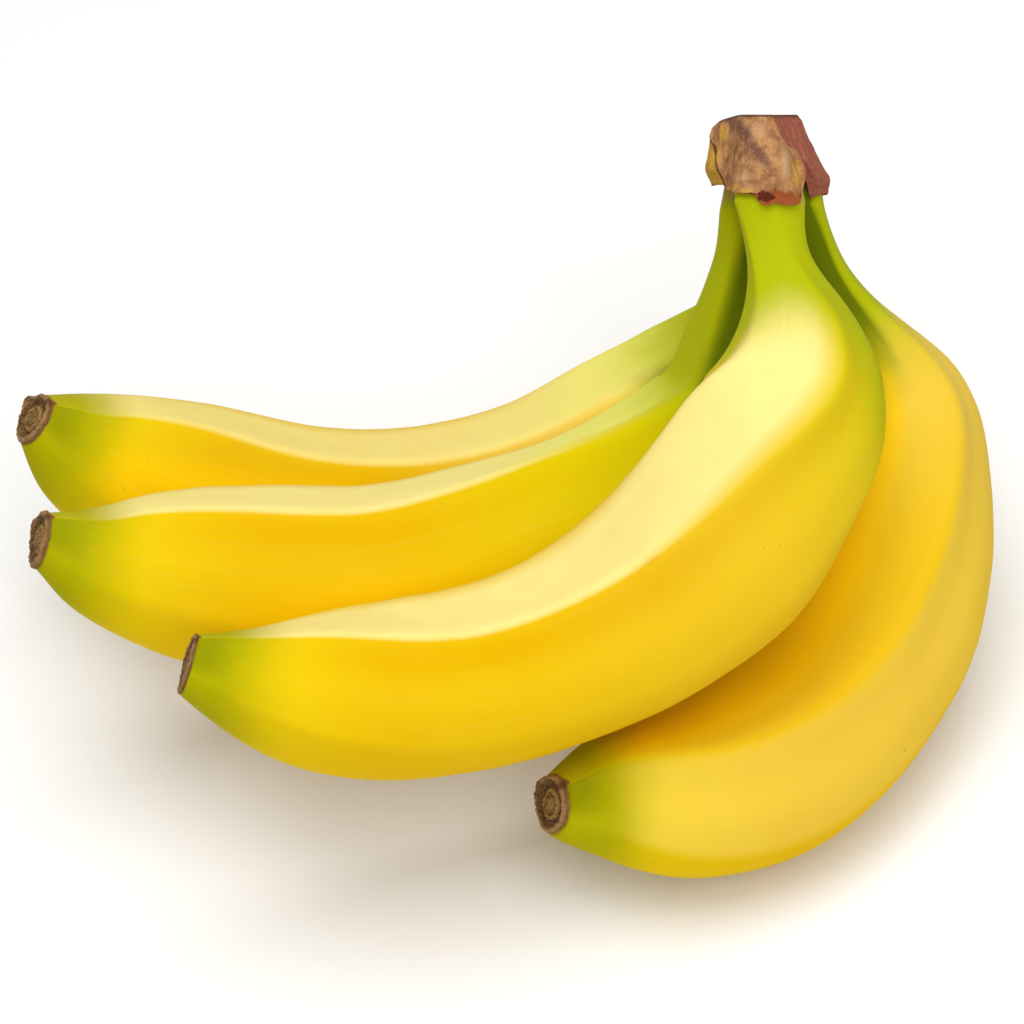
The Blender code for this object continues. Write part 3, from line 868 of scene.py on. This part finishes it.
def tip_surface(name):
    """Dry blossom end, as a function of the share along its profile and the angle around it.

    Point = end centre + height(share) * direction of the tip + radius(share) * spoke(angle). The rim
    grows out into two nibs, and noise roughens rim and face.
    """
    profile = np.array(TIP_PROFILE)
    run = np.concatenate(([0.0], np.cumsum(np.linalg.norm(np.diff(profile, axis=0), axis=1))))
    share = np.linspace(0.0, 1.0, TIP_RINGS)
    line = cubic(run, profile, share * run[-1])
    height = line[:, 0][:, None]
    reach = line[:, 1][:, None]
    centre, half, along, front, side, twist = (row[-1] for row in finger_frame(name, TIP_STEPS)[2:])
    around = np.arange(TIP_AROUND) * FULL_TURN / TIP_AROUND
    spoke = np.cos(around + twist)[:, None] * front + np.sin(around + twist)[:, None] * side
    rim = ease((reach - 0.76) / 0.12)
    nibs = np.zeros(TIP_AROUND)
    stand = np.zeros(TIP_AROUND)
    for angle, width, tall in TIP_NIBS:
        off = wrap(around - angle)
        nibs = np.maximum(nibs, bump(off, width))
        stand = np.maximum(stand, bump(off, width) * tall * NIB_SHARE[name])
    on_rim = rim * ease(height / 0.08)
    nibs = nibs[None, :] * on_rim
    stand = stand[None, :] * on_rim
    circle = np.stack((np.cos(around), np.sin(around), np.zeros(TIP_AROUND)), axis=-1)
    flat = circle[None] * reach[..., None]
    rough = ripple(flat * half, 1.5, seed=11 + len(name)) * 0.022 + ripple(flat * half, 0.7, seed=5) * 0.018
    lobes = ripple(flat * half, 4.5, seed=31 + len(name)) * 0.03
    height = height + (rough + lobes) * ease(reach / 0.1) + stand
    radius = reach * (1 + stand + rim * ripple(flat * half, 2.2, seed=3 + len(name)) * 0.025)
    height = np.where(height > 0, height * TIP_DEPTH[name], height)
    points = centre + half * (height[..., None] * along + radius[..., None] * spoke[None])
    fields = {
        "reach": np.broadcast_to(reach, radius.shape).copy(),
        "nib": nibs,
        "disc": flat * half + height[..., None] * np.array((0.0, 0.0, half)),
    }
    first = centre + half * profile[0, 0] * along
    last = points[-1].mean(axis=0)
    return points, first, last, fields


def closed(table, at):
    """A closed spline through a table of places and values, read at the places in at."""
    corners = len(CROWN_PLAN)
    places = np.concatenate([table[:, 0] + corners * lap for lap in (-1, 0, 1)])
    values = np.concatenate([table[:, 1:]] * 3)
    return cubic(places, values, at)


def neck_reach(middle, spoke):
    """How far from the middle each spoke leaves the furthest of the four necks.

    A neck's section is an ellipse, so the place is the larger root of a quadratic in the distance.
    """
    reach = np.zeros(len(spoke))
    for points in FINGERS.values():
        across, _, deep, half = points[0]
        radii = np.array((half, half * NECK_THIN))
        start = (middle - np.array((across, deep))) / radii
        step = spoke / radii
        a = (step ** 2).sum(axis=1)
        b = (start * step).sum(axis=1)
        c = (start ** 2).sum() - 1
        root = b ** 2 - a * c
        hit = np.where(root > 0, (-b + np.sqrt(np.maximum(root, 0.0))) / a, 0.0)
        reach = np.maximum(reach, hit)
    return reach


def crown_surface(sizes):
    """Crown, as a function of the height above its ragged edge and the place around its plan.

    Above, each level is the plan drawn in about its middle. Below, the husk hugs the four necks: its
    reach is the furthest neck that a spoke from the middle meets. The two are blended over the height.
    """
    corners = len(CROWN_PLAN)
    at = np.arange(CROWN_AROUND) * corners / CROWN_AROUND
    plan = closed(np.column_stack((np.arange(corners), CROWN_PLAN)), at)
    middle = np.array(CROWN_MIDDLE)
    offset = plan - middle
    spoke = unit(offset)

    least = np.linalg.norm(offset, axis=1) * HUG_LEAST
    hug = np.maximum(neck_reach(middle, spoke), least) + sizes.husk / MM

    edge_table = np.array(CROWN_EDGE)
    ragged = ripple(np.column_stack((plan, np.zeros(CROWN_AROUND))), 2.4, seed=21) * 0.25
    edge = np.interp(at, np.append(edge_table[:, 0], corners), np.append(edge_table[:, 1], edge_table[0, 1]))
    edge = edge + ragged
    levels = np.array(CROWN_LEVELS)
    top = levels[-1, 0]
    rise = np.linspace(0.0, 1.0, CROWN_RINGS)[:, None]
    height = edge + (top - edge) * rise
    # The cut leans a little away from the viewer
    lean = CUT_LEAN * np.clip(plan[:, 1].max() - plan[:, 1], 0.0, CUT_LEAN_DEPTH)
    lean = lean * (1 - LEFT_CORNER_LESS * bump(at - LEFT_CORNER, LEFT_CORNER_WIDTH))

    def formula(high):
        """The plan drawn in about the middle of each level."""
        mid = np.interp(high, levels[:, 0], levels[:, 1])
        across = np.interp(high, levels[:, 0], levels[:, 2])
        deep = np.interp(high, levels[:, 0], levels[:, 3])
        return np.stack((mid + offset[:, 0] * across, middle[1] + offset[:, 1] * deep), axis=-1)

    drawn = formula(height)
    hugging = middle + spoke * hug[:, None]
    blend = ease((height - edge) / HUG_HEIGHT)[..., None]
    flat = hugging * (1 - blend) + drawn * blend
    place = at[None, :] * np.ones_like(height)

    # Where the husk of the front neck ends: on the right it leans in towards the top
    plate_end = np.interp(height, *np.array(PLATE_END).T)
    plate_left = np.interp(height, *np.array(PLATE_LEFT).T)
    past_end = np.where(place < PLATE_RIGHT, ease((flat[..., 0] - plate_end) / 0.8), 1.0) * (place < REAR)
    band = past_end * ease((BAND_END - place) / 0.5)
    flap = ease((plate_left - place) / 0.1) * ease((place - FLAP_START) / 0.5) * ease(FLAP_TOP - height)
    plate = 1 - np.maximum(past_end, ease((plate_left - place) / 0.12) * (place >= REAR))
    full = np.concatenate((flat, height[..., None]), axis=-1)
    fibres = ripple(full * np.array((1.0, 1.0, 0.16)), 2.0, seed=41) * 0.16
    lumps = ripple(full, 9.0, seed=42) * 0.16 + ripple(full, 3.6, seed=43) * 0.10
    calm = ease((height - edge) / 3.0) * ease((top - height) / 2.5)
    flat = flat + (plate * PLATE_STEP + (fibres + lumps) * calm)[..., None] * spoke[None]
    leant = height + lean * ease((height - CUT_LEAN_FROM) / (top - CUT_LEAN_FROM))
    wall = np.stack((flat[..., 0], leant, flat[..., 1]), axis=-1)

    # Inside lip below, and the cut face above with its rounded rim
    lip = []
    for inward, up in LIP:
        ring = wall[0].copy()
        ring[:, 0] -= spoke[:, 0] * inward
        ring[:, 2] -= spoke[:, 1] * inward
        ring[:, 1] += up
        lip.append(ring)
    cap = []
    heart = wall[-1].mean(axis=0)
    for inward in np.linspace(0.0, 0.97, CUT_RINGS + 1)[1:]:
        ring = wall[-1] * (1 - inward) + heart * inward
        ring[:, 1] -= CUT_SINK * ease((inward - 0.05) / 0.5)
        fibres = ripple(ring * np.array((1.0, 0.0, 1.0)), 3.0, seed=51) * 0.2
        ring[:, 1] += fibres * ease((inward - 0.1) / 0.2)
        cap.append(ring)
    points = np.concatenate((np.array(lip), wall, np.array(cap)))

    def whole(values, below, above):
        """A field of the wall, with one value for the lip below it and one for the cut above."""
        return np.concatenate((
            np.full((len(lip), CROWN_AROUND), below), values, np.full((len(cap), CROWN_AROUND), above)))

    right = wall[..., 0]
    facing = (place < AWAY[0]) | (place > AWAY[1])

    def spots(table):
        """Soft ovals on the side that faces the viewer: right, up, half width, half height."""
        total = np.zeros_like(height)
        for middle_right, middle_up, wide, high in table:
            oval = bump((right - middle_right) / wide, 1.0) * bump((height - middle_up) / high, 1.0)
            total = np.maximum(total, oval * facing)
        return total

    streak_middle = np.interp(height, *np.array(STREAK_LINE).T)
    streak = bump(right - streak_middle, STREAK_WIDTH) * facing * ease((height - STREAK_FROM) / STREAK_RISE)
    fields = {
        "band": whole(band, 0.3, 0.0),
        "streak": whole(streak, 0.0, 0.0),
        # Painted shadow along the front plate's left edge, where it meets the flap
        "seam": whole(bump(place - plate_left, 0.14) * ease((77.0 - height) / 2.0), 0.3, 0.0),
        "bright": whole(spots(CROWN_BRIGHT), 0.0, 0.0),
        "ochre": whole(np.maximum(spots(CROWN_OCHRE), flap * 1.2), 0.3, 0.0),
        "rust": whole(spots(CROWN_RUST) + 0.5 * bump(height - edge, 0.5), 0.6, 0.0),
        # A dark patch of the husk, and a painted shadow line under the front plate's lower left rim
        "blot": whole(spots(CROWN_BLOT), 0.0, 0.0),
        "top": whole(bump(height - top, 0.7), 0.0, 0.6),
    }
    first = np.array((middle[0], LIP_MIDDLE, middle[1]))
    last = heart + np.array((0.0, -0.6, 0.0))
    return points, first, last, fields


class BUNCH_OT_fingers(bpy.types.Operator):
    """Skin the four bananas with their peels"""

    bl_idname = "bunch.fingers"
    bl_label = "Bananas"

    def execute(self, context):
        scene = context.scene
        peel = peel_paint(scene.bunch_colours)
        for name in FINGERS:
            points, first, last, fields = finger_surface(name, scene.bunch_sizes)
            grid_piece("peel_" + name, points, first, last, fields, peel, "banana_" + name)
        return {"FINISHED"}


class BUNCH_OT_tips(bpy.types.Operator):
    """Put the dry blossom ends on the bananas"""

    bl_idname = "bunch.tips"
    bl_label = "Dry tips"

    def execute(self, context):
        cork = tip_paint(context.scene.bunch_colours)
        for name in FINGERS:
            points, first, last, fields = tip_surface(name)
            grid_piece("blossom_end_" + name, points, first, last, fields, cork, "tip_" + name)
        return {"FINISHED"}


class BUNCH_OT_crown(bpy.types.Operator):
    """Build the cut crown over the necks"""

    bl_idname = "bunch.crown"
    bl_label = "Crown"

    def execute(self, context):
        scene = context.scene
        points, first, last, fields = crown_surface(scene.bunch_sizes)
        husk = crown_paint(scene.bunch_colours)
        grid_piece("crown_husk", points, first, last, fields, husk, "crown")
        return {"FINISHED"}


class BUNCH_OT_stage(bpy.types.Operator):
    """Set the pale floor, the soft lights and the camera"""

    bl_idname = "bunch.stage"
    bl_label = "Stage"

    def execute(self, context):
        scene = context.scene
        stage = scene.bunch_stage
        floor_mesh = bpy.data.meshes.new("floor")
        corners = ((-1, -1), (1, -1), (1, 1), (-1, 1))
        floor_mesh.from_pydata(
            [(x * FLOOR_REACH, y * FLOOR_REACH, 0.0) for x, y in corners], [], [(0, 1, 2, 3)])
        floor = bpy.data.objects.new("floor", floor_mesh)
        scene.collection.objects.link(floor)
        paint = Paint("pale_floor", roughness=0.9, specular_ior_level=0.2)
        floor_mesh.materials.append(paint.finish(Base_Color=(*stage.floor, 1.0)))

        for name, (setting, size, place) in LAMPS.items():
            self.soft_box(name, getattr(stage, setting), size, place)

        world = bpy.data.worlds.new("room")
        world.use_nodes = True
        back = world.node_tree.nodes["Background"]
        back.inputs["Color"].default_value = (1.0, 1.0, 1.0, 1.0)
        back.inputs["Strength"].default_value = stage.sky
        scene.world = world

        camera_data = bpy.data.cameras.new("camera")
        camera_data.angle = 2 * math.atan(stage.view_width / 2 / stage.distance)
        camera_data.clip_start = 0.05
        camera = bpy.data.objects.new("camera", camera_data)
        scene.collection.objects.link(camera)
        hand = Matrix.Translation(Vector(HAND_AT) * MM) @ HAND.to_4x4()
        camera.matrix_world = hand @ Matrix.Translation((0.0, 0.0, stage.distance))
        scene.camera = camera
        scene.view_settings.view_transform = "Standard"
        return {"FINISHED"}

    def soft_box(self, name, power, size, place):
        """A square area light that faces the bunch."""
        light = bpy.data.lights.new(name, "AREA")
        light.energy = power
        light.size = size
        lamp = bpy.data.objects.new(name, light)
        lamp.location = place
        lamp.rotation_euler = (Vector(LAMP_TARGET) - Vector(place)).to_track_quat("-Z", "Y").to_euler()
        bpy.context.scene.collection.objects.link(lamp)


class BUNCH_PT_panel(bpy.types.Panel):
    """Sizes, colours and steps of the bunch"""

    bl_idname = "BUNCH_PT_panel"
    bl_label = "Bunch of bananas"
    bl_space_type = "VIEW_3D"
    bl_region_type = "UI"
    bl_category = "Bananas"

    def draw(self, context):
        layout = self.layout
        scene = context.scene
        for group in (scene.bunch_sizes, scene.bunch_colours, scene.bunch_stage):
            box = layout.box()
            for name in group.__annotations__:
                box.prop(group, name)
        for step in STEPS:
            layout.operator(step.bl_idname)


GROUPS = {"bunch_sizes": BunchSizes, "bunch_colours": BunchColours, "bunch_stage": BunchStage}
STEPS = (BUNCH_OT_fingers, BUNCH_OT_tips, BUNCH_OT_crown, BUNCH_OT_stage)


def register():
    """Add the classes, and hang the property groups on the scene."""
    for thing in (*GROUPS.values(), *STEPS, BUNCH_PT_panel):
        bpy.utils.register_class(thing)
    for name, group in GROUPS.items():
        setattr(bpy.types.Scene, name, bpy.props.PointerProperty(type=group))


def unregister():
    """Take everything off again."""
    for name in GROUPS:
        delattr(bpy.types.Scene, name)
    for thing in reversed((*GROUPS.values(), *STEPS, BUNCH_PT_panel)):
        bpy.utils.unregister_class(thing)


def main():
    """Build every piece in order."""
    register()
    bpy.ops.bunch.fingers()
    bpy.ops.bunch.tips()
    bpy.ops.bunch.crown()
    bpy.ops.bunch.stage()


if __name__ == "__main__":
    main()
